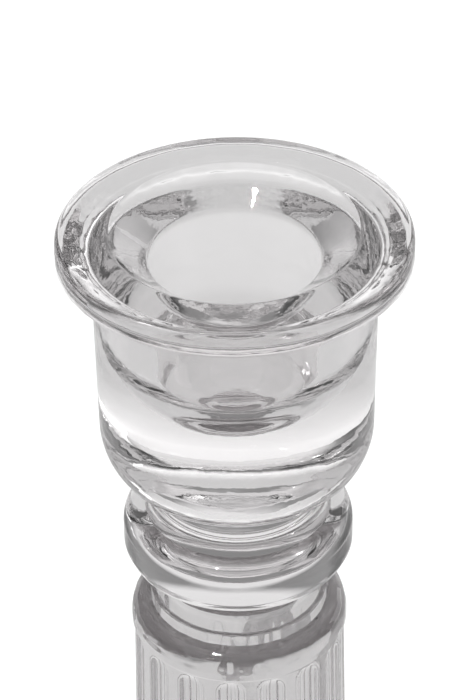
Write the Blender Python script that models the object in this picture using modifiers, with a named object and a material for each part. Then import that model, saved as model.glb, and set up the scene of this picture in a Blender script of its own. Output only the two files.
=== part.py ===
"""Pressed-glass taper candlestick: seven pieces of clear glass, joined hot one above the other.

Units are metres and +Z is up. The origin is the middle of the plane that the foot stands on.
From the top down the pieces are the candle socket, neck wafer, collar ring, waist wafer,
fluted column, foot wafer and round foot. Each is one closed solid on the Z axis, and its own
origin is the middle of its lower joint face.
"""

import math

import bpy

MM = 0.001

# Driving dimensions of the whole candlestick
TOTAL_HEIGHT = 230 * MM
JOINT_GAP = 0.3 * MM
SEGMENTS = 48
NECK_RADIUS = 11.3 * MM
EDGE = 0.3 * MM

# Candle socket, depths measured down from the rim
SOCKET_HEIGHT = 40.7 * MM
LIP_RADIUS = 23.3 * MM
LIP_HEIGHT = 4.5 * MM
LIP_ROUND = (0.9 * MM, 1.6 * MM)
LIP_EDGE = 1.1 * MM
FUNNEL_RADIUS = 16.7 * MM
FUNNEL_ROUND = 0.8 * MM
FUNNEL_SLOPE = 39
MOUTH_RADIUS = 11.2 * MM
MOUTH_DEPTH = 4.8 * MM
MOUTH_ROUND = 1.2 * MM
HOLE_RADIUS = 10.9 * MM
HOLE_ROUND_DEPTH = 15.3 * MM
HOLE_ROUND_HEIGHT = 11.0 * MM
HOLE_SEAT_ANGLE = -70
BOWL_TOP_RADIUS = 18.75 * MM
BOWL_LOW_RADIUS = 18.4 * MM
BOWL_LOW_DEPTH = 29.7 * MM
BOWL_CURVE = (8.7 * MM, 9.0 * MM)
BOWL_CURVE_END = -72
NECK_FILLET = (1.7 * MM, 1.5 * MM)
NECK_FILLET_HEIGHT = 1.0 * MM
UNDER_LIP_ROUND = 1.2 * MM

# Wafers of hot glass
WAFER_THICKNESS = 0.8 * MM
WAFER_BULGE = 0.2 * MM

# Collar ring
RING_RADIUS = 15.7 * MM
RING_HEIGHT = 7.5 * MM
RING_UPPER_ROUND = 3.0 * MM
RING_BEVEL_HEIGHT = 1.6 * MM
RING_LOW_RADIUS = 15.0 * MM
RING_TOP_NECK = 1.7 * MM
RING_LOW_NECK = 2.6 * MM

# Fluted column
WAIST_HEIGHT = 4.4 * MM
SHOULDER_RADIUS = 14.95 * MM
SHOULDER_ROUND = (3.0 * MM, 2.5 * MM)
SHOULDER_BAND = 1.6 * MM
COLUMN_TOP_RADIUS = 14.6 * MM
COLUMN_LOW_RADIUS = 16.6 * MM
FLUTE_COUNT = 16
FLUTE_WIDTH = 3.8 * MM
FLUTE_DEPTH = 0.8 * MM
FLUTE_MARGIN = 0.6 * MM
FLUTE_SEGMENTS = 20
BASE_BAND = 4.0 * MM
BASE_BAND_RADIUS = 17.4 * MM
BASE_ROUND = 3.0 * MM
BASE_NECK_RADIUS = 13.5 * MM
BASE_NECK = 3.0 * MM

# Round foot, heights measured up from the table
FOOT_HEIGHT = 44.0 * MM
FOOT_RADIUS = 52.5 * MM
FOOT_RIM_HEIGHT = 6.5 * MM
FOOT_RIM_ROUND = 2.6 * MM
FOOT_STEP_RADIUS = 46.0 * MM
FOOT_STEP_HEIGHT = 9.0 * MM
FOOT_BEAD_RADIUS = 25.0 * MM
FOOT_BEAD_HEIGHT = 27.0 * MM
FOOT_BEAD_SIZE = 2.6 * MM
FOOT_HOLLOW_RADIUS = 42.0 * MM
FOOT_HOLLOW_HEIGHT = 12.0 * MM
FOOT_HOLLOW_TOP_RADIUS = 16.0 * MM
FOOT_HOLLOW_EDGE = (1.5 * MM, 2.0 * MM)
FOOT_LEDGE = 1.0 * MM
FOOT_STAND_RADIUS = 50.0 * MM


def clear_scene():
    """Remove every object that the file opened with."""
    for obj in list(bpy.data.objects):
        bpy.data.objects.remove(obj, do_unlink=True)


def new_collection(name):
    """Make a collection under the scene's own."""
    collection = bpy.data.collections.new(name)
    bpy.context.scene.collection.children.link(collection)
    return collection


def clear_glass(name):
    """Make the clear, faintly grey glass of one piece."""
    material = bpy.data.materials.new(name)
    material.use_nodes = True
    shader = material.node_tree.nodes["Principled BSDF"]
    shader.inputs["Base Color"].default_value = (0.96, 0.965, 0.965, 1.0)
    shader.inputs["Roughness"].default_value = 0.03
    shader.inputs["Metallic"].default_value = 0.0
    shader.inputs["IOR"].default_value = 1.51
    shader.inputs["Transmission Weight"].default_value = 1.0
    return material


def arc(centre, radii, start, end, count):
    """Give count + 1 points (radius, height) on an elliptical arc, with angles in degrees."""
    points = []
    for step in range(count + 1):
        angle = math.radians(start + (end - start) * step / count)
        points.append((centre[0] + radii[0] * math.cos(angle), centre[1] + radii[1] * math.sin(angle)))
    return points


def round_corner(corner, radii, start, end, count):
    """Give the arc that rounds a square outer corner of a profile."""
    across = math.cos(math.radians(start)) + math.cos(math.radians(end))
    along = math.sin(math.radians(start)) + math.sin(math.radians(end))
    centre = (corner[0] - math.copysign(radii[0], across), corner[1] - math.copysign(radii[1], along))
    return arc(centre, radii, start, end, count)


def turned(name, profile, base_height, segments, collection):
    """Turn a closed profile, listed from the axis at the top to the axis at the bottom."""
    mesh = bpy.data.meshes.new(name)
    edges = [(index, index + 1) for index in range(len(profile) - 1)]
    mesh.from_pydata([(radius, 0.0, height) for radius, height in profile], edges, [])
    obj = bpy.data.objects.new(name, mesh)
    obj.location.z = base_height
    collection.objects.link(obj)
    screw = obj.modifiers.new("Turn", "SCREW")
    screw.axis = "Z"
    screw.angle = math.tau
    screw.steps = segments
    screw.render_steps = segments
    screw.use_merge_vertices = True
    screw.merge_threshold = 0.00001
    screw.use_smooth_shade = True
    return obj


def glass_piece(name, profile, base_height, collection):
    """Turn one piece of the candlestick and give it its own glass."""
    piece = turned(name, profile, base_height, SEGMENTS, collection)
    piece.data.materials.append(clear_glass(f"{name}_glass"))
    return piece


def candle_socket(base_height, collection):
    """Flat lip, funnel, blind round-bottomed candle hole and thick bowl, pressed as one piece."""
    rim = SOCKET_HEIGHT
    bowl_low = rim - BOWL_LOW_DEPTH
    hole_round = arc((0.0, rim - HOLE_ROUND_DEPTH), (HOLE_RADIUS, HOLE_ROUND_HEIGHT), HOLE_SEAT_ANGLE, 0, 9)
    mouth_centre = (MOUTH_RADIUS + MOUTH_ROUND, rim - MOUTH_DEPTH)
    slope_turn = 90 + FUNNEL_SLOPE
    under_lip_centre = (BOWL_TOP_RADIUS + UNDER_LIP_ROUND, rim - LIP_HEIGHT - UNDER_LIP_ROUND)
    bowl_centre = (BOWL_LOW_RADIUS - BOWL_CURVE[0], bowl_low)
    profile = [(0.0, hole_round[0][1])]
    profile += hole_round
    profile += arc(mouth_centre, (MOUTH_ROUND,) * 2, 180, slope_turn, 3)
    profile += arc((FUNNEL_RADIUS, rim - FUNNEL_ROUND), (FUNNEL_ROUND,) * 2, slope_turn, 90, 3)
    profile += round_corner((LIP_RADIUS, rim), LIP_ROUND, 90, 0, 4)
    profile += round_corner((LIP_RADIUS, rim - LIP_HEIGHT), (LIP_EDGE,) * 2, 0, -90, 3)
    profile += arc(under_lip_centre, (UNDER_LIP_ROUND,) * 2, 90, 180, 3)
    profile += arc(bowl_centre, BOWL_CURVE, 0, BOWL_CURVE_END, 8)
    profile += arc((NECK_RADIUS + NECK_FILLET[0], NECK_FILLET_HEIGHT), NECK_FILLET, 112, 180, 3)
    profile += [(NECK_RADIUS, EDGE), (NECK_RADIUS - EDGE, 0.0), (0.0, 0.0)]
    return glass_piece("candle_socket", profile, base_height, collection)


def wafer(name, radius, base_height, collection):
    """Thin disc of hot glass with a bulging edge, squeezed between two pieces."""
    middle = WAFER_THICKNESS / 2
    profile = [(0.0, WAFER_THICKNESS)]
    profile += arc((radius, middle), (WAFER_BULGE, middle), 90, -90, 4)
    profile += [(0.0, 0.0)]
    return glass_piece(name, profile, base_height, collection)


def collar_ring(base_height, collection):
    """Thick ring, round above and bevelled below, with a neck stub above and below."""
    low = RING_LOW_NECK
    high = RING_LOW_NECK + RING_HEIGHT
    top = high + RING_TOP_NECK
    profile = [(0.0, top), (NECK_RADIUS - EDGE, top), (NECK_RADIUS, top - EDGE), (NECK_RADIUS, high)]
    profile += round_corner((RING_RADIUS, high), (RING_UPPER_ROUND,) * 2, 90, 0, 5)
    profile += [(RING_RADIUS, low + RING_BEVEL_HEIGHT), (RING_LOW_RADIUS, low + EDGE)]
    profile += [(RING_LOW_RADIUS - EDGE, low)]
    profile += [(NECK_RADIUS, low), (NECK_RADIUS, EDGE), (NECK_RADIUS - EDGE, 0.0), (0.0, 0.0)]
    return glass_piece("collar_ring", profile, base_height, collection)


def column_blank(height, base_height, collection):
    """Waist, smooth shoulder, tapered column and base band, before the flutes are cut."""
    shoulder_top = height - WAIST_HEIGHT
    fluted_top = shoulder_top - SHOULDER_ROUND[1] - SHOULDER_BAND
    band_low = BASE_NECK
    band_high = BASE_NECK + BASE_ROUND + BASE_BAND
    profile = [(0.0, height), (NECK_RADIUS - EDGE, height), (NECK_RADIUS, height - EDGE)]
    profile += [(NECK_RADIUS, shoulder_top)]
    profile += round_corner((SHOULDER_RADIUS, shoulder_top), SHOULDER_ROUND, 90, 0, 5)
    profile += [(SHOULDER_RADIUS, fluted_top + EDGE), (COLUMN_TOP_RADIUS, fluted_top)]
    profile += [(COLUMN_LOW_RADIUS, band_high + EDGE), (BASE_BAND_RADIUS, band_high)]
    profile += round_corner((BASE_BAND_RADIUS, band_low), (BASE_ROUND,) * 2, 0, -90, 4)
    profile += [(BASE_NECK_RADIUS, band_low), (BASE_NECK_RADIUS, EDGE)]
    profile += [(BASE_NECK_RADIUS - EDGE, 0.0), (0.0, 0.0)]
    return glass_piece("fluted_column", profile, base_height, collection)


def flute_cutters(height, base_height, collection):
    """Upright round-ended rods, leaning with the column's taper, that cut the flutes."""
    cutter_radius = (FLUTE_WIDTH**2 / 4 + FLUTE_DEPTH**2) / (2 * FLUTE_DEPTH)
    top = height - WAIST_HEIGHT - SHOULDER_ROUND[1] - SHOULDER_BAND - FLUTE_MARGIN
    bottom = BASE_NECK + BASE_ROUND + BASE_BAND + FLUTE_MARGIN
    length = top - bottom
    taper = (COLUMN_LOW_RADIUS - COLUMN_TOP_RADIUS) / length
    half = length / 2 - FLUTE_WIDTH / 2
    profile = arc((0.0, half), (cutter_radius,) * 2, 90, 0, 5)
    profile += arc((0.0, -half), (cutter_radius,) * 2, 0, -90, 5)
    middle_radius = (COLUMN_TOP_RADIUS + COLUMN_LOW_RADIUS) / 2 - FLUTE_DEPTH + cutter_radius
    middle_height = base_height + (top + bottom) / 2
    for index in range(FLUTE_COUNT):
        turn = math.tau * index / FLUTE_COUNT - math.pi / 2
        cutter = turned(f"flute_cutter_{index + 1:02d}", profile, middle_height, FLUTE_SEGMENTS, collection)
        cutter.location.x = middle_radius * math.cos(turn)
        cutter.location.y = middle_radius * math.sin(turn)
        cutter.rotation_euler = (0.0, -math.atan(taper), turn)
        cutter.display_type = "WIRE"
        cutter.hide_render = True


def round_foot(collection):
    """Wide stepped foot with a bead under its neck and a dished hollow underneath."""
    rim_top = FOOT_RIM_HEIGHT
    bead = FOOT_BEAD_HEIGHT
    profile = [(0.0, FOOT_HEIGHT), (BASE_NECK_RADIUS - EDGE, FOOT_HEIGHT)]
    profile += [(BASE_NECK_RADIUS, FOOT_HEIGHT - EDGE)]
    cove_across = FOOT_BEAD_RADIUS - BASE_NECK_RADIUS
    cove_down = FOOT_HEIGHT - EDGE - bead - FOOT_BEAD_SIZE
    profile += arc((FOOT_BEAD_RADIUS, FOOT_HEIGHT - EDGE), (cove_across, cove_down), 195, 255, 4)
    profile += arc((FOOT_BEAD_RADIUS, bead), (FOOT_BEAD_SIZE,) * 2, 75, -75, 5)
    sweep_across = FOOT_STEP_RADIUS - FOOT_BEAD_RADIUS - FOOT_LEDGE
    sweep_down = bead - FOOT_BEAD_SIZE - FOOT_STEP_HEIGHT
    profile += arc((FOOT_STEP_RADIUS, bead - FOOT_BEAD_SIZE), (sweep_across, sweep_down), 190, 265, 5)
    profile += [(FOOT_STEP_RADIUS, FOOT_STEP_HEIGHT), (FOOT_STEP_RADIUS, rim_top)]
    profile += round_corner((FOOT_RADIUS, rim_top), (FOOT_RIM_ROUND,) * 2, 90, 0, 4)
    profile += round_corner((FOOT_RADIUS, 0.0), (FOOT_RADIUS - FOOT_STAND_RADIUS, FOOT_RIM_ROUND), 0, -90, 3)
    profile += [(FOOT_HOLLOW_RADIUS, 0.0), (FOOT_HOLLOW_RADIUS - FOOT_HOLLOW_EDGE[0], FOOT_HOLLOW_EDGE[1])]
    profile += [(FOOT_HOLLOW_TOP_RADIUS, FOOT_HOLLOW_HEIGHT), (0.0, FOOT_HOLLOW_HEIGHT)]
    return glass_piece("round_foot", profile, 0.0, collection)


def main():
    """Stack the seven pieces from the table to the rim."""
    clear_scene()
    collection = new_collection("glass_candlestick")
    cutters = new_collection("cutters")

    foot_wafer_base = FOOT_HEIGHT + JOINT_GAP
    column_base = foot_wafer_base + WAFER_THICKNESS + JOINT_GAP
    socket_base = TOTAL_HEIGHT - SOCKET_HEIGHT
    neck_wafer_base = socket_base - JOINT_GAP - WAFER_THICKNESS
    ring_base = neck_wafer_base - JOINT_GAP - RING_TOP_NECK - RING_HEIGHT - RING_LOW_NECK
    waist_wafer_base = ring_base - JOINT_GAP - WAFER_THICKNESS
    column_height = waist_wafer_base - JOINT_GAP - column_base

    round_foot(collection)
    wafer("foot_wafer", BASE_NECK_RADIUS, foot_wafer_base, collection)
    column = column_blank(column_height, column_base, collection)
    flute_cutters(column_height, column_base, cutters)
    flutes = column.modifiers.new("Flutes", "BOOLEAN")
    flutes.operation = "DIFFERENCE"
    flutes.operand_type = "COLLECTION"
    flutes.collection = cutters
    flutes.solver = "EXACT"
    wafer("waist_wafer", NECK_RADIUS, waist_wafer_base, collection)
    collar_ring(ring_base, collection)
    wafer("neck_wafer", NECK_RADIUS, neck_wafer_base, collection)
    candle_socket(socket_base, collection)


main()
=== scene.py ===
"""Looks of a pressed-glass taper candlestick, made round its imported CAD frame.

Lengths are metres and +Z is up. Each CAD node is replaced by a finer piece of the same shape.
Neighbouring pieces meet in flat faces. All of these let light pass straight on, as fused glass
does, except the one under the collar ring, so that only the grooves round the joints show.
"""

import math

import bpy
from mathutils import Matrix, Vector, noise


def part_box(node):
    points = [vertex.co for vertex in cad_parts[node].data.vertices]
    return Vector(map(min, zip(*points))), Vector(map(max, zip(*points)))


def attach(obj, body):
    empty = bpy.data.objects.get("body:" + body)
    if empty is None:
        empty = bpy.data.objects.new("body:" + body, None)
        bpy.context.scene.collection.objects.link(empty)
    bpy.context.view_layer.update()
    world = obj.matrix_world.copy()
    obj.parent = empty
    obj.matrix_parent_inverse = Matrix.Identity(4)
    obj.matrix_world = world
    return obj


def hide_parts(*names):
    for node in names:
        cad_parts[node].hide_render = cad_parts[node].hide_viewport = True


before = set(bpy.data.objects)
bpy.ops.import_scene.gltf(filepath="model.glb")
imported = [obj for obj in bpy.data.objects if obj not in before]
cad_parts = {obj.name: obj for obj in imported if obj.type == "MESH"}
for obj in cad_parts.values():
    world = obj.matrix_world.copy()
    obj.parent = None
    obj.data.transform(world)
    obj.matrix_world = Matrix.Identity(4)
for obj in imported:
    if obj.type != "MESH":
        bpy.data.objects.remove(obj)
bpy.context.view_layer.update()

MM = 0.001

# Driving dimensions, from the frame: ends of the ring and the column to the nearest micrometre
STACK = sorted(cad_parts, key=lambda node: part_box(node)[0][2])
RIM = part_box("candle_socket")[1][2]
LIP_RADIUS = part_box("candle_socket")[1][0]
FOOT_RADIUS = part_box("round_foot")[1][0]
RING_BOTTOM, RING_TOP = (round(corner[2], 6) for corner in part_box("collar_ring"))
COLUMN_BOTTOM, COLUMN_TOP = (round(corner[2], 6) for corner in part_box("fluted_column"))

# Fineness of the meshes, with angles in degrees
SEGMENTS = 320
STEP = 0.35 * MM
FOOT_STEP = 2 * STEP
LEAST_CORNER_STEPS = 3
WIDEST_CORNER_STEP = 9
HOLE_STEPS = 24
LIP_STEPS = 8
BOWL_STEPS = 24
WAFER_STEPS = 12
COVE_STEPS = 24
BEAD_STEPS = 16
SWEEP_STEPS = 28
SHARP_ANGLE = 50
SAME = 1e-9

# Joints: the groove round each, and the hair's breadth between the pieces
NECK_RADIUS = 11.3 * MM
BASE_NECK_RADIUS = 13.5 * MM
JOINT_ROUND = 0.07 * MM
JOINT_SPACE = 0.01 * MM
WAFER_BULGE = 0.06 * MM
WAFER_ANGLES = (85, -85)

# Candle socket, depths measured down from the rim
HOLE_CENTRE_DEPTH = 15.3 * MM
HOLE_ROUND = (10.9 * MM, 11.0 * MM)
HOLE_SEAT_ANGLE = -70
MOUTH_RADIUS = 11.2 * MM
MOUTH_DEPTH = 4.2 * MM
MOUTH_ROUND = 1.2 * MM
FUNNEL_RADIUS = 16.4 * MM
FUNNEL_ROUND = 0.8 * MM
LIP_HEIGHT = 4.5 * MM
LIP_ROUND = (0.9 * MM, 1.6 * MM)
LIP_EDGE = 1.1 * MM
UNDER_LIP_ROUND = 1.2 * MM
BOWL_TOP_RADIUS = 18.75 * MM
BOWL_LOW_RADIUS = 18.4 * MM
BOWL_LOW_DEPTH = 29.7 * MM
BOWL_CURVE = (8.7 * MM, 9.0 * MM)
BOWL_CURVE_ANGLES = (-5, -72)
BOWL_FOOT_DEPTH = 38.6 * MM
BOWL_FOOT_ROUND = 1.2 * MM

# Collar ring
RING_LOW_NECK = 2.6 * MM
RING_TOP_NECK = 1.7 * MM
RING_RADIUS = 15.7 * MM
RING_LOW_RADIUS = 15.0 * MM
RING_UPPER_ROUND = 3.0 * MM
RING_BEVEL_HEIGHT = 1.6 * MM
RING_BEVEL_ROUNDS = (0.5 * MM, 0.4 * MM)
RING_NECK_ROUNDS = (1.0 * MM, 0.8 * MM)

# Fluted column
WAIST_HEIGHT = 4.4 * MM
WAIST_ROUND = 1.0 * MM
SHOULDER_RADIUS = 14.95 * MM
SHOULDER_HEIGHT = 4.1 * MM
SHOULDER_ROUND = 2.6 * MM
COLUMN_TOP_RADIUS = 14.6 * MM
COLUMN_LOW_RADIUS = 16.6 * MM
COLUMN_LEDGE = 0.3 * MM
COLUMN_LEDGE_ROUNDS = (0.2 * MM, 0.5 * MM)
BASE_NECK = 3.2 * MM
BASE_NECK_ROUND = 0.8 * MM
BASE_BAND_HEIGHT = 7.0 * MM
BASE_BAND_RADIUS = 17.4 * MM
BASE_BAND_ROUNDS = (0.3 * MM, 3.0 * MM)
FLUTE_COUNT = 16
FLUTE_SEGMENTS = 24
FLUTE_WIDTH = 3.8 * MM
FLUTE_DEPTH = 0.8 * MM
FLUTE_MARGIN = 0.6 * MM

# Round foot, heights measured up from the table
COVE_CENTRE = (25.0 * MM, 43.7 * MM)
COVE_RADII = (11.5 * MM, 14.1 * MM)
COVE_ANGLES = (185, 262)
BEAD_CENTRE = (25.0 * MM, 27.0 * MM)
BEAD_RADII = (2.6 * MM, 2.6 * MM)
BEAD_ANGLES = (75, -75)
SWEEP_CENTRE = (46.0 * MM, 24.4 * MM)
SWEEP_RADII = (20.0 * MM, 15.4 * MM)
SWEEP_ANGLES = (190, 268)
FOOT_LEDGE_RADIUS = 46.0 * MM
FOOT_LEDGE_HEIGHT = 8.9 * MM
FOOT_LEDGE_ROUNDS = (0.2 * MM, 0.6 * MM)
FOOT_RIM_HEIGHT = 6.5 * MM
FOOT_RIM_ROUNDS = (2.6 * MM, 2.4 * MM)
HOLLOW_RADIUS = 42.0 * MM
HOLLOW_EDGE = (1.5 * MM, 2.0 * MM)
HOLLOW_TOP_RADIUS = 16.0 * MM
HOLLOW_HEIGHT = 12.0 * MM
HOLLOW_ROUNDS = (0.3 * MM, 1.0 * MM, 6.0 * MM)

# Ripples in the surface: depth, wave length round the piece and along it, and seed
LIP_RIPPLE = (0.16 * MM, 2.2 * MM, 4.0 * MM, 2.0)
UNDER_LIP_RIPPLE = (0.35 * MM, 1.6 * MM, 4.0 * MM, 3.0)
WALL_RIPPLE = (0.08 * MM, 4.0 * MM, 9.0 * MM, 5.0)
CHILL_MARKS = (0.03 * MM, 1.0 * MM, 0.7 * MM, 9.0)
RING_RIPPLE = (0.08 * MM, 6.0 * MM, 4.0 * MM, 4.0)
SHOULDER_RIPPLE = (0.2 * MM, 2.2 * MM, 7.0 * MM, 6.0)

# Where ripples set in: by radius, or by distance from the rim, a joint or a level
LIP_RADII = (19.2 * MM, 21.0 * MM)
LIP_DEPTHS = (0.1 * MM, 2.5 * MM)
UNDER_LIP_RADII = (18.9 * MM, 19.8 * MM)
UNDER_LIP_DEPTHS = (3.2 * MM, 4.4 * MM)
UNDER_LIP_LEVELS = (-5.2 * MM, -4.6 * MM)
WALL_DEPTHS = (0.3 * MM, 1.5 * MM)
SOCKET_JOINT_RISE = (0.3 * MM, 1.8 * MM)
CHILL_DEPTHS = (30.0 * MM, 33.0 * MM)
RING_RIPPLE_RADII = (11.3 * MM, 13.0 * MM)
COLUMN_JOINT_DROP = (0.5 * MM, 2.0 * MM)

# Glass
GLASS_TINT = (0.97, 0.96, 0.963, 1.0)
GLASS_IOR = 1.51
GLASS_WAVE_SCALE = 220.0
GLASS_WAVE_DETAIL = 3.0
GLASS_HAZE = 0.03
GLASS_SHADOW = (0.75, 0.75, 0.75, 1.0)
GLASS_ABSORBS = (0.42, 0.38, 0.39, 1.0)
GLASS_DENSITY = 5.0
PRESSED_WAVES = 0.02 * MM
SOCKET_WAVES = 0.05 * MM
WAFER_WAVES = 0.01 * MM

# Camera: where it stands from the middle of the rim, and how it looks
CAMERA_DISTANCE = 0.410
CAMERA_ELEVATION = 33.66
CAMERA_AZIMUTH = 5.3
CAMERA_PITCH = 35.805
CAMERA_ROLL = 0.77
CAMERA_AIM = 0.056
CAMERA_LENS = 164.4
CAMERA_SENSOR = 36.0
CAMERA_CLIP = 0.01

# Studio: grey levels of the floor and the room, by place from the front (0) to the back (1)
FLOOR_SIZE = 60.0
FLOOR_ROUGHNESS = 0.9
FLOOR_SEEN = 0.92
# The floor's greys are painted shade: darker in front and lighter behind, seen only through the glass
FLOOR_PAINTED_SHADE = [(0.35, 0.14), (0.5, 0.54), (0.6, 0.54), (0.7, 0.68), (0.8, 0.78), (1.0, 0.9)]
WORLD_SEEN = 0.95
WORLD_DEPTH = [
    (0.0, 0.6), (0.2, 0.65), (0.3, 0.65), (0.37, 0.45), (0.43, 0.85),
    (0.57, 0.8), (0.68, 0.28), (0.88, 0.28), (0.94, 0.92), (1.0, 0.92),
]
WORLD_SIDE = 0.04
WORLD_SIDE_REACH = (0.6, 0.75)

# Lamps: azimuth is measured from the front towards +X
SUN = {"azimuth": -30, "elevation": 66, "angle": 1.5, "power": 2.7}
WINDOW = {"azimuth": 130, "elevation": 3, "distance": 1.6, "size": 0.9, "power": 3}

# Light paths
MAX_BOUNCES = 32
GLOSSY_BOUNCES = 16
TRANSPARENT_BOUNCES = 64


# ---------------------------------------------------------------- outlines

def arc(centre, radii, start, end, count):
    """Give points (radius, height, 0) on an elliptical arc, with angles in degrees."""
    points = []
    for step in range(count + 1):
        angle = math.radians(start + (end - start) * step / count)
        points.append((centre[0] + radii[0] * math.cos(angle), centre[1] + radii[1] * math.sin(angle), 0.0))
    return points


def rounded(corners):
    """Round each corner (radius, height, rounding) of an outline with an arc."""
    points = [Vector(corners[0][:2])]
    for before, corner, after in zip(corners, corners[1:], corners[2:]):
        here = Vector(corner[:2])
        if corner[2] == 0.0:
            points.append(here)
            continue
        back = (Vector(before[:2]) - here).normalized()
        ahead = (Vector(after[:2]) - here).normalized()
        half = back.angle(ahead) / 2
        tangent = corner[2] / math.tan(half)
        centre = here + (back + ahead).normalized() * (corner[2] / math.sin(half))
        start = here + back * tangent - centre
        turn = math.pi - 2 * half
        side = math.copysign(1.0, start.x * ahead.y - start.y * ahead.x)
        by_length = math.ceil(turn * corner[2] / STEP)
        by_angle = math.ceil(math.degrees(turn) / WIDEST_CORNER_STEP)
        count = max(LEAST_CORNER_STEPS, by_length, by_angle)
        for step in range(count + 1):
            spin = Matrix.Rotation(side * turn * step / count, 2)
            points.append(centre + spin @ start)
    points.append(Vector(corners[-1][:2]))
    return points


def evenly(points, longest):
    """Add points so that no stretch of an outline is longer than the given length."""
    dense = [points[0]]
    for start, end in zip(points, points[1:]):
        count = max(1, math.ceil((end - start).length / longest))
        dense += [start.lerp(end, step / count) for step in range(1, count + 1)]
    return dense


# ---------------------------------------------------------------- meshes

def turned(name, corners, base, joints, inset=None, lift=None, segments=SEGMENTS, longest=STEP):
    """Turn an outline, listed from the axis at the top to the axis at the bottom.

    base is the height that the outline's zero stands at. joints are the heights, in the outline, of
    the flat faces that light crosses into another piece: the "joint" attribute marks them. Every
    piece stops half of JOINT_SPACE short of each end of its outline. inset(radius, height, angle)
    is how far in a point sits, and lift(radius, height, angle) how far up.
    """
    outline = evenly(rounded(corners), longest)
    low = corners[-1][1]
    tall = corners[0][1] - low
    if outline[0].x < SAME and outline[-1].x < SAME:
        outline = outline[1:-1]
    levels = [corners[0][1]] + [spot.y for spot in outline] + [low]
    raised = [base + low + JOINT_SPACE / 2 + (level - low) * (1 - JOINT_SPACE / tall) for level in levels]
    points = [(0.0, 0.0, raised[0])]
    for spot, height in zip(outline, raised[1:]):
        for index in range(segments):
            angle = math.tau * index / segments
            radius = spot.x - (inset(spot.x, spot.y, angle) if inset else 0.0)
            rise = lift(spot.x, spot.y, angle) if lift else 0.0
            points.append((radius * math.cos(angle), radius * math.sin(angle), height + rise))
    points.append((0.0, 0.0, raised[-1]))
    faces = []
    fused = []
    last = len(points) - 1
    for band, (above, below) in enumerate(zip(levels, levels[1:])):
        meets = any(abs(above - joint) < SAME and abs(below - joint) < SAME for joint in joints)
        upper = 1 + (band - 1) * segments
        lower = upper + segments
        for index in range(segments):
            after = (index + 1) % segments
            if band == 0:
                faces.append((0, lower + index, lower + after))
            elif band == len(levels) - 2:
                faces.append((upper + index, last, upper + after))
            else:
                faces.append((upper + index, lower + index, lower + after, upper + after))
            fused.append(1.0 if meets else 0.0)
    mesh = bpy.data.meshes.new(name)
    mesh.from_pydata(points, [], faces)
    mesh.shade_smooth()
    mesh.set_sharp_from_angle(angle=math.radians(SHARP_ANGLE))
    mesh.attributes.new("joint", "FLOAT", "FACE").data.foreach_set("value", fused)
    piece = bpy.data.objects.new(name, mesh)
    bpy.context.scene.collection.objects.link(piece)
    return piece


def wave(ripple, radius, height, angle):
    """Depth of smooth noise on a turned surface."""
    depth, across, along, seed = ripple
    spot = Vector((radius * math.cos(angle) / across, radius * math.sin(angle) / across, height / along))
    return depth * (0.5 + 0.5 * noise.noise(spot + Vector((seed, 0.0, -seed))))


def fade(value, start, end):
    """Rise smoothly from 0 at start to 1 at end."""
    part = min(1.0, max(0.0, (value - start) / (end - start)))
    return part * part * (3 - 2 * part)


# ---------------------------------------------------------------- materials

def glass_material(name, depth):
    """Clear pressed glass, a little grey where it is thick, with faint waves in its surface.

    depth is how far, in metres, the waves in the shading reach. Lamps shine through the glass, and
    faces that the "joint" attribute marks let all light pass.
    """
    material = bpy.data.materials.new(name)
    material.use_nodes = True
    nodes = material.node_tree.nodes
    links = material.node_tree.links
    shader = nodes["Principled BSDF"]
    shader.inputs["Base Color"].default_value = GLASS_TINT
    shader.inputs["IOR"].default_value = GLASS_IOR
    shader.inputs["Transmission Weight"].default_value = 1.0
    place = nodes.new("ShaderNodeTexCoord")
    waves = nodes.new("ShaderNodeTexNoise")
    waves.inputs["Scale"].default_value = GLASS_WAVE_SCALE
    waves.inputs["Detail"].default_value = GLASS_WAVE_DETAIL
    links.new(place.outputs["Object"], waves.inputs["Vector"])
    bump = nodes.new("ShaderNodeBump")
    bump.inputs["Strength"].default_value = 1.0
    bump.inputs["Distance"].default_value = depth
    links.new(waves.outputs["Fac"], bump.inputs["Height"])
    links.new(bump.outputs["Normal"], shader.inputs["Normal"])
    haze = nodes.new("ShaderNodeMapRange")
    haze.inputs["To Min"].default_value = 0.0
    haze.inputs["To Max"].default_value = GLASS_HAZE
    links.new(waves.outputs["Fac"], haze.inputs["Value"])
    links.new(haze.outputs["Result"], shader.inputs["Roughness"])
    path = nodes.new("ShaderNodeLightPath")
    clear = nodes.new("ShaderNodeBsdfTransparent")
    clear.inputs["Color"].default_value = GLASS_SHADOW
    shadow = nodes.new("ShaderNodeMixShader")
    links.new(path.outputs["Is Shadow Ray"], shadow.inputs[0])
    links.new(shader.outputs[0], shadow.inputs[1])
    links.new(clear.outputs[0], shadow.inputs[2])
    joint = nodes.new("ShaderNodeAttribute")
    joint.attribute_name = "joint"
    fused = nodes.new("ShaderNodeBsdfTransparent")
    surface = nodes.new("ShaderNodeMixShader")
    links.new(joint.outputs["Fac"], surface.inputs[0])
    links.new(shadow.outputs[0], surface.inputs[1])
    links.new(fused.outputs[0], surface.inputs[2])
    output = nodes["Material Output"]
    links.new(surface.outputs[0], output.inputs["Surface"])
    absorb = nodes.new("ShaderNodeVolumeAbsorption")
    absorb.inputs["Color"].default_value = GLASS_ABSORBS
    absorb.inputs["Density"].default_value = GLASS_DENSITY
    links.new(absorb.outputs[0], output.inputs["Volume"])
    return material


# ---------------------------------------------------------------- pieces

def finish_piece(piece, node, material):
    """Give a piece its glass, and put it in its CAD node's place."""
    piece.data.materials.append(material)
    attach(piece, "root")
    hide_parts(node)


def joint_heights():
    """Give the height of each joint, half way between the CAD solids that it joins."""
    heights = {}
    for lower, upper in zip(STACK, STACK[1:]):
        heights[lower, upper] = (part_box(lower)[1][2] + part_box(upper)[0][2]) / 2
    return heights


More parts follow.
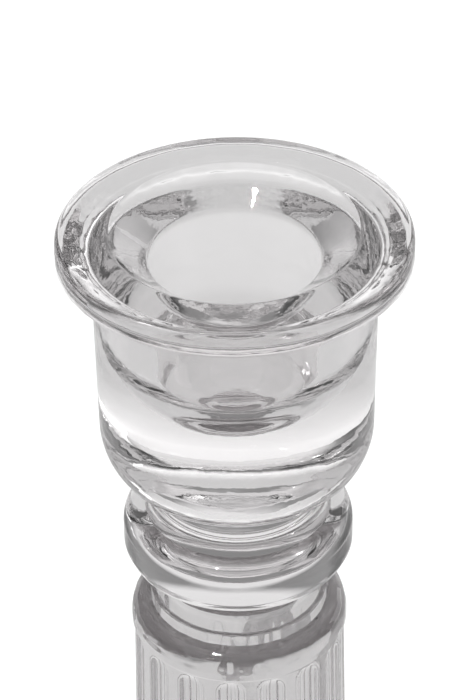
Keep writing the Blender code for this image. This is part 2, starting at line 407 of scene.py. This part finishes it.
def make_socket(joints, material):
    """Flat lip, funnel, blind candle hole and thick bowl."""
    bottom = joints["neck_wafer", "candle_socket"] - RIM
    hole = arc((0.0, -HOLE_CENTRE_DEPTH), HOLE_ROUND, HOLE_SEAT_ANGLE, 0, HOLE_STEPS)
    corners = [(0.0, hole[0][1], 0.0)] + hole
    corners += [(MOUTH_RADIUS, -MOUTH_DEPTH, MOUTH_ROUND), (FUNNEL_RADIUS, 0.0, FUNNEL_ROUND)]
    corners += arc((LIP_RADIUS - LIP_ROUND[0], -LIP_ROUND[1]), LIP_ROUND, 90, 0, LIP_STEPS)
    corners += [
        (LIP_RADIUS, -LIP_HEIGHT, LIP_EDGE),
        (BOWL_TOP_RADIUS, -LIP_HEIGHT, UNDER_LIP_ROUND),
        (BOWL_LOW_RADIUS, -BOWL_LOW_DEPTH, 0.0),
    ]
    bowl_centre = (BOWL_LOW_RADIUS - BOWL_CURVE[0], -BOWL_LOW_DEPTH)
    corners += arc(bowl_centre, BOWL_CURVE, *BOWL_CURVE_ANGLES, BOWL_STEPS)
    corners += [
        (NECK_RADIUS, -BOWL_FOOT_DEPTH, BOWL_FOOT_ROUND),
        (NECK_RADIUS, bottom, JOINT_ROUND),
        (0.0, bottom, 0.0),
    ]

    def ripples(radius, level, angle):
        """Ripples round the lip, soft waves on the walls, chill marks low on the bowl."""
        lip = fade(radius, *LIP_RADII) * fade(-level, *LIP_DEPTHS)
        above_joint = fade(level - bottom, *SOCKET_JOINT_RISE)
        wall = fade(-level, *WALL_DEPTHS) * above_joint
        chill = fade(-level, *CHILL_DEPTHS) * above_joint
        depth = lip * wave(LIP_RIPPLE, radius, level, angle)
        depth += wall * wave(WALL_RIPPLE, radius, level, angle)
        depth += chill * wave(CHILL_MARKS, radius, level, angle)
        return depth

    def drips(radius, level, angle):
        """Uneven underside of the lip."""
        under = fade(-level, *UNDER_LIP_DEPTHS) * fade(level, *UNDER_LIP_LEVELS)
        return fade(radius, *UNDER_LIP_RADII) * under * wave(UNDER_LIP_RIPPLE, radius, 0.0, angle)

    piece = turned("pressed_socket", corners, RIM, [bottom], ripples, drips)
    finish_piece(piece, "candle_socket", material)


def make_wafer(name, node, radius, low, high, material, clear_top=True):
    """Thin disc of glass with a bulging edge; clear_top is False where its top mirrors instead."""
    thickness = high - low
    flat = radius - JOINT_ROUND
    corners = [(0.0, thickness, 0.0), (flat, thickness, 0.0)]
    edge = (JOINT_ROUND + WAFER_BULGE, thickness / 2)
    corners += arc((flat, thickness / 2), edge, *WAFER_ANGLES, WAFER_STEPS)
    corners += [(flat, 0.0, 0.0), (0.0, 0.0, 0.0)]
    piece = turned(name, corners, low, [0.0, thickness] if clear_top else [0.0])
    finish_piece(piece, node, material)


def make_ring(joints, material):
    """Thick collar ring with a neck stub above and below."""
    low = joints["waist_wafer", "collar_ring"]
    height = joints["collar_ring", "neck_wafer"] - low
    ring_low = RING_BOTTOM + RING_LOW_NECK - low
    ring_high = RING_TOP - RING_TOP_NECK - low
    corners = [
        (0.0, height, 0.0),
        (NECK_RADIUS, height, JOINT_ROUND),
        (NECK_RADIUS, ring_high, RING_NECK_ROUNDS[0]),
        (RING_RADIUS, ring_high, RING_UPPER_ROUND),
        (RING_RADIUS, ring_low + RING_BEVEL_HEIGHT, RING_BEVEL_ROUNDS[0]),
        (RING_LOW_RADIUS, ring_low, RING_BEVEL_ROUNDS[1]),
        (NECK_RADIUS, ring_low, RING_NECK_ROUNDS[1]),
        (NECK_RADIUS, 0.0, JOINT_ROUND),
        (0.0, 0.0, 0.0),
    ]

    def ripples(radius, level, angle):
        """Soft waves where the hot ring was handled."""
        return fade(radius, *RING_RIPPLE_RADII) * wave(RING_RIPPLE, radius, level, angle)

    piece = turned("pressed_ring", corners, low, [height], ripples)
    finish_piece(piece, "collar_ring", material)


def make_column(joints, material):
    """Waist, smooth shoulder and fluted column with a plain band at its base."""
    low = joints["foot_wafer", "fluted_column"]
    height = joints["fluted_column", "waist_wafer"] - low
    shoulder = COLUMN_TOP - WAIST_HEIGHT - low
    flute_top = shoulder - SHOULDER_HEIGHT
    band_low = COLUMN_BOTTOM + BASE_NECK - low
    band_top = band_low + BASE_BAND_HEIGHT
    corners = [
        (0.0, height, 0.0),
        (NECK_RADIUS, height, JOINT_ROUND),
        (NECK_RADIUS, shoulder, WAIST_ROUND),
        (SHOULDER_RADIUS, shoulder, SHOULDER_ROUND),
        (SHOULDER_RADIUS, flute_top, COLUMN_LEDGE_ROUNDS[0]),
        (COLUMN_TOP_RADIUS, flute_top - COLUMN_LEDGE, COLUMN_LEDGE_ROUNDS[1]),
        (COLUMN_LOW_RADIUS, band_top + COLUMN_LEDGE, COLUMN_LEDGE_ROUNDS[1]),
        (BASE_BAND_RADIUS, band_top, BASE_BAND_ROUNDS[0]),
        (BASE_BAND_RADIUS, band_low, BASE_BAND_ROUNDS[1]),
        (BASE_NECK_RADIUS, band_low, BASE_NECK_ROUND),
        (BASE_NECK_RADIUS, 0.0, JOINT_ROUND),
        (0.0, 0.0, 0.0),
    ]
    rod = (FLUTE_WIDTH**2 / 4 + FLUTE_DEPTH**2) / (2 * FLUTE_DEPTH)
    high_end = flute_top - FLUTE_MARGIN - FLUTE_WIDTH / 2
    low_end = band_top + FLUTE_MARGIN + FLUTE_WIDTH / 2

    def flutes(radius, level, angle):
        """Depth of the nearest flute, a groove cut by a round-ended rod, and waves above the flutes."""
        pitch = math.tau / FLUTE_COUNT
        across = radius * math.sin((angle + math.pi / 2 + pitch / 2) % pitch - pitch / 2)
        along = max(0.0, level - high_end, low_end - level)
        if level > high_end + FLUTE_WIDTH:
            return fade(height - level, *COLUMN_JOINT_DROP) * wave(SHOULDER_RIPPLE, radius, level, angle)
        if level < low_end - FLUTE_WIDTH:
            return 0.0
        reach = rod**2 - across**2 - along**2
        return max(0.0, math.sqrt(max(reach, 0.0)) - (rod - FLUTE_DEPTH))

    segments = FLUTE_COUNT * FLUTE_SEGMENTS
    piece = turned("pressed_column", corners, low, [0.0, height], flutes, segments=segments)
    finish_piece(piece, "fluted_column", material)


def make_foot(joints, material):
    """Round stepped foot with a bead under its neck and a dished hollow."""
    top = joints["round_foot", "foot_wafer"]
    corners = [(0.0, top, 0.0), (BASE_NECK_RADIUS, top, JOINT_ROUND)]
    corners += arc(COVE_CENTRE, COVE_RADII, *COVE_ANGLES, COVE_STEPS)
    corners += arc(BEAD_CENTRE, BEAD_RADII, *BEAD_ANGLES, BEAD_STEPS)
    corners += arc(SWEEP_CENTRE, SWEEP_RADII, *SWEEP_ANGLES, SWEEP_STEPS)
    corners += [
        (FOOT_LEDGE_RADIUS, FOOT_LEDGE_HEIGHT, FOOT_LEDGE_ROUNDS[0]),
        (FOOT_LEDGE_RADIUS, FOOT_RIM_HEIGHT, FOOT_LEDGE_ROUNDS[1]),
        (FOOT_RADIUS, FOOT_RIM_HEIGHT, FOOT_RIM_ROUNDS[0]),
        (FOOT_RADIUS, 0.0, FOOT_RIM_ROUNDS[1]),
        (HOLLOW_RADIUS, 0.0, HOLLOW_ROUNDS[0]),
        (HOLLOW_RADIUS - HOLLOW_EDGE[0], HOLLOW_EDGE[1], HOLLOW_ROUNDS[1]),
        (HOLLOW_TOP_RADIUS, HOLLOW_HEIGHT, HOLLOW_ROUNDS[2]),
        (0.0, HOLLOW_HEIGHT, 0.0),
    ]
    piece = turned("pressed_foot", corners, 0.0, [top], longest=FOOT_STEP)
    finish_piece(piece, "round_foot", material)


# ---------------------------------------------------------------- stage

def grey(level):
    """Give an opaque grey."""
    return (level, level, level, 1.0)


def grey_ramp(nodes, stops):
    """Colour ramp node from (position, grey level) stops."""
    ramp = nodes.new("ShaderNodeValToRGB")
    elements = ramp.color_ramp.elements
    elements.remove(elements[1])
    elements[0].position = stops[0][0]
    elements[0].color = grey(stops[0][1])
    for position, level in stops[1:]:
        elements.new(position).color = grey(level)
    return ramp


def front_to_back(nodes, links, y_output, stops):
    """Grey level by Y, from -1 at the front to 1 at the back."""
    reach = nodes.new("ShaderNodeMapRange")
    reach.inputs["From Min"].default_value = -1.0
    reach.inputs["From Max"].default_value = 1.0
    links.new(y_output, reach.inputs["Value"])
    ramp = grey_ramp(nodes, stops)
    links.new(reach.outputs["Result"], ramp.inputs[0])
    return ramp.outputs[0]


def grey_where(nodes, links, factor, base, level):
    """Mix a base colour with a plain grey, by a factor."""
    mix = nodes.new("ShaderNodeMix")
    mix.data_type = "RGBA"
    mix.inputs[7].default_value = grey(level)
    links.new(factor, mix.inputs["Factor"])
    links.new(base, mix.inputs[6])
    return mix.outputs[2]


def add_floor():
    """Plain pale floor that the glass sees as a soft grey with painted shade, darker in front than behind.
    """
    bpy.ops.mesh.primitive_plane_add(size=FLOOR_SIZE)
    floor = bpy.context.object
    floor.name = "studio_floor"
    material = bpy.data.materials.new("studio_floor")
    material.use_nodes = True
    nodes = material.node_tree.nodes
    links = material.node_tree.links
    shader = nodes["Principled BSDF"]
    shader.inputs["Roughness"].default_value = FLOOR_ROUGHNESS
    shader.inputs["Specular IOR Level"].default_value = 0.0
    place = nodes.new("ShaderNodeNewGeometry")
    split = nodes.new("ShaderNodeSeparateXYZ")
    links.new(place.outputs["Position"], split.inputs[0])
    # Painted shade: the grey that the glass sees darkens towards the front
    depth = front_to_back(nodes, links, split.outputs["Y"], FLOOR_PAINTED_SHADE)
    path = nodes.new("ShaderNodeLightPath")
    colour = grey_where(nodes, links, path.outputs["Is Camera Ray"], depth, FLOOR_SEEN)
    links.new(colour, shader.inputs["Base Color"])
    floor.data.materials.append(material)


def add_world():
    """Soft grey studio: bright low behind the candlestick and overhead, dim higher up behind it
    and nearly black at the sides. The camera sees it pale all round."""
    world = bpy.data.worlds.new("studio")
    bpy.context.scene.world = world
    world.use_nodes = True
    nodes = world.node_tree.nodes
    links = world.node_tree.links
    place = nodes.new("ShaderNodeTexCoord")
    split = nodes.new("ShaderNodeSeparateXYZ")
    links.new(place.outputs["Generated"], split.inputs[0])
    depth = front_to_back(nodes, links, split.outputs["Y"], WORLD_DEPTH)
    across = nodes.new("ShaderNodeMath")
    across.operation = "ABSOLUTE"
    links.new(split.outputs["X"], across.inputs[0])
    aside = nodes.new("ShaderNodeMapRange")
    aside.interpolation_type = "SMOOTHSTEP"
    aside.inputs["From Min"].default_value = WORLD_SIDE_REACH[0]
    aside.inputs["From Max"].default_value = WORLD_SIDE_REACH[1]
    links.new(across.outputs[0], aside.inputs["Value"])
    room = grey_where(nodes, links, aside.outputs["Result"], depth, WORLD_SIDE)
    path = nodes.new("ShaderNodeLightPath")
    colour = grey_where(nodes, links, path.outputs["Is Camera Ray"], room, WORLD_SEEN)
    links.new(colour, nodes["Background"].inputs["Color"])
    nodes["Background"].inputs["Strength"].default_value = 1.0


def direction(azimuth, elevation):
    """Give the way from the candlestick towards a place, with azimuth from the front towards +X."""
    turn = math.radians(azimuth)
    rise = math.radians(elevation)
    return Vector((math.sin(turn) * math.cos(rise), -math.cos(turn) * math.cos(rise), math.sin(rise)))


def add_lamp(name, data, location, way):
    """Put a lamp at a place, shining against the given way."""
    lamp = bpy.data.objects.new(name, data)
    lamp.location = location
    lamp.rotation_euler = way.to_track_quat("Z", "Y").to_euler()
    bpy.context.scene.collection.objects.link(lamp)
    return lamp


def add_sun():
    """Soft distant lamp from the front left, high up."""
    data = bpy.data.lights.new("sun", "SUN")
    data.energy = SUN["power"]
    data.angle = math.radians(SUN["angle"])
    way = direction(SUN["azimuth"], SUN["elevation"])
    add_lamp("sun", data, way, way)


def add_window():
    """Square lamp from behind at the right, level with the rim, which the camera doesn't see."""
    data = bpy.data.lights.new("window", "AREA")
    data.size = WINDOW["size"]
    data.energy = WINDOW["power"]
    way = direction(WINDOW["azimuth"], WINDOW["elevation"])
    lamp = add_lamp("window", data, Vector((0.0, 0.0, RIM)) + way * WINDOW["distance"], way)
    lamp.visible_camera = False


def add_camera():
    """Camera in front of the candlestick and above it, looking down into the socket."""
    data = bpy.data.cameras.new("camera")
    data.lens = CAMERA_LENS
    data.sensor_width = CAMERA_SENSOR
    data.clip_start = CAMERA_CLIP
    camera = bpy.data.objects.new("camera", data)
    place = Vector((0.0, 0.0, RIM)) + direction(CAMERA_AZIMUTH, CAMERA_ELEVATION) * CAMERA_DISTANCE
    yaw = Matrix.Rotation(math.radians(CAMERA_AZIMUTH + CAMERA_AIM), 4, "Z")
    tip = Matrix.Rotation(math.radians(90 - CAMERA_PITCH), 4, "X")
    roll = Matrix.Rotation(math.radians(-CAMERA_ROLL), 4, "Z")
    camera.matrix_world = Matrix.Translation(place) @ yaw @ tip @ roll
    bpy.context.scene.collection.objects.link(camera)
    bpy.context.scene.camera = camera


def set_light_paths():
    """Let light cross many faces of glass, and show colours as they are."""
    scene = bpy.context.scene
    scene.view_settings.view_transform = "Standard"
    scene.cycles.max_bounces = MAX_BOUNCES
    scene.cycles.transmission_bounces = MAX_BOUNCES
    scene.cycles.glossy_bounces = GLOSSY_BOUNCES
    scene.cycles.transparent_max_bounces = TRANSPARENT_BOUNCES
    scene.cycles.caustics_refractive = False
    scene.cycles.caustics_reflective = False


def main():
    """Build the pieces and the studio round the frame."""
    set_light_paths()
    add_camera()
    add_floor()
    add_world()
    add_sun()
    add_window()
    joints = joint_heights()
    pressed = glass_material("pressed_glass", PRESSED_WAVES)
    wavy = glass_material("wavy_glass", SOCKET_WAVES)
    smooth = glass_material("wafer_glass", WAFER_WAVES)
    make_foot(joints, pressed)
    make_wafer("wafer_at_foot", "foot_wafer", BASE_NECK_RADIUS,
               joints["round_foot", "foot_wafer"], joints["foot_wafer", "fluted_column"], smooth)
    make_column(joints, pressed)
    make_wafer("wafer_at_waist", "waist_wafer", NECK_RADIUS,
               joints["fluted_column", "waist_wafer"], joints["waist_wafer", "collar_ring"], smooth,
               clear_top=False)
    make_ring(joints, pressed)
    make_wafer("wafer_at_neck", "neck_wafer", NECK_RADIUS,
               joints["collar_ring", "neck_wafer"], joints["neck_wafer", "candle_socket"], smooth)
    make_socket(joints, wavy)


main()
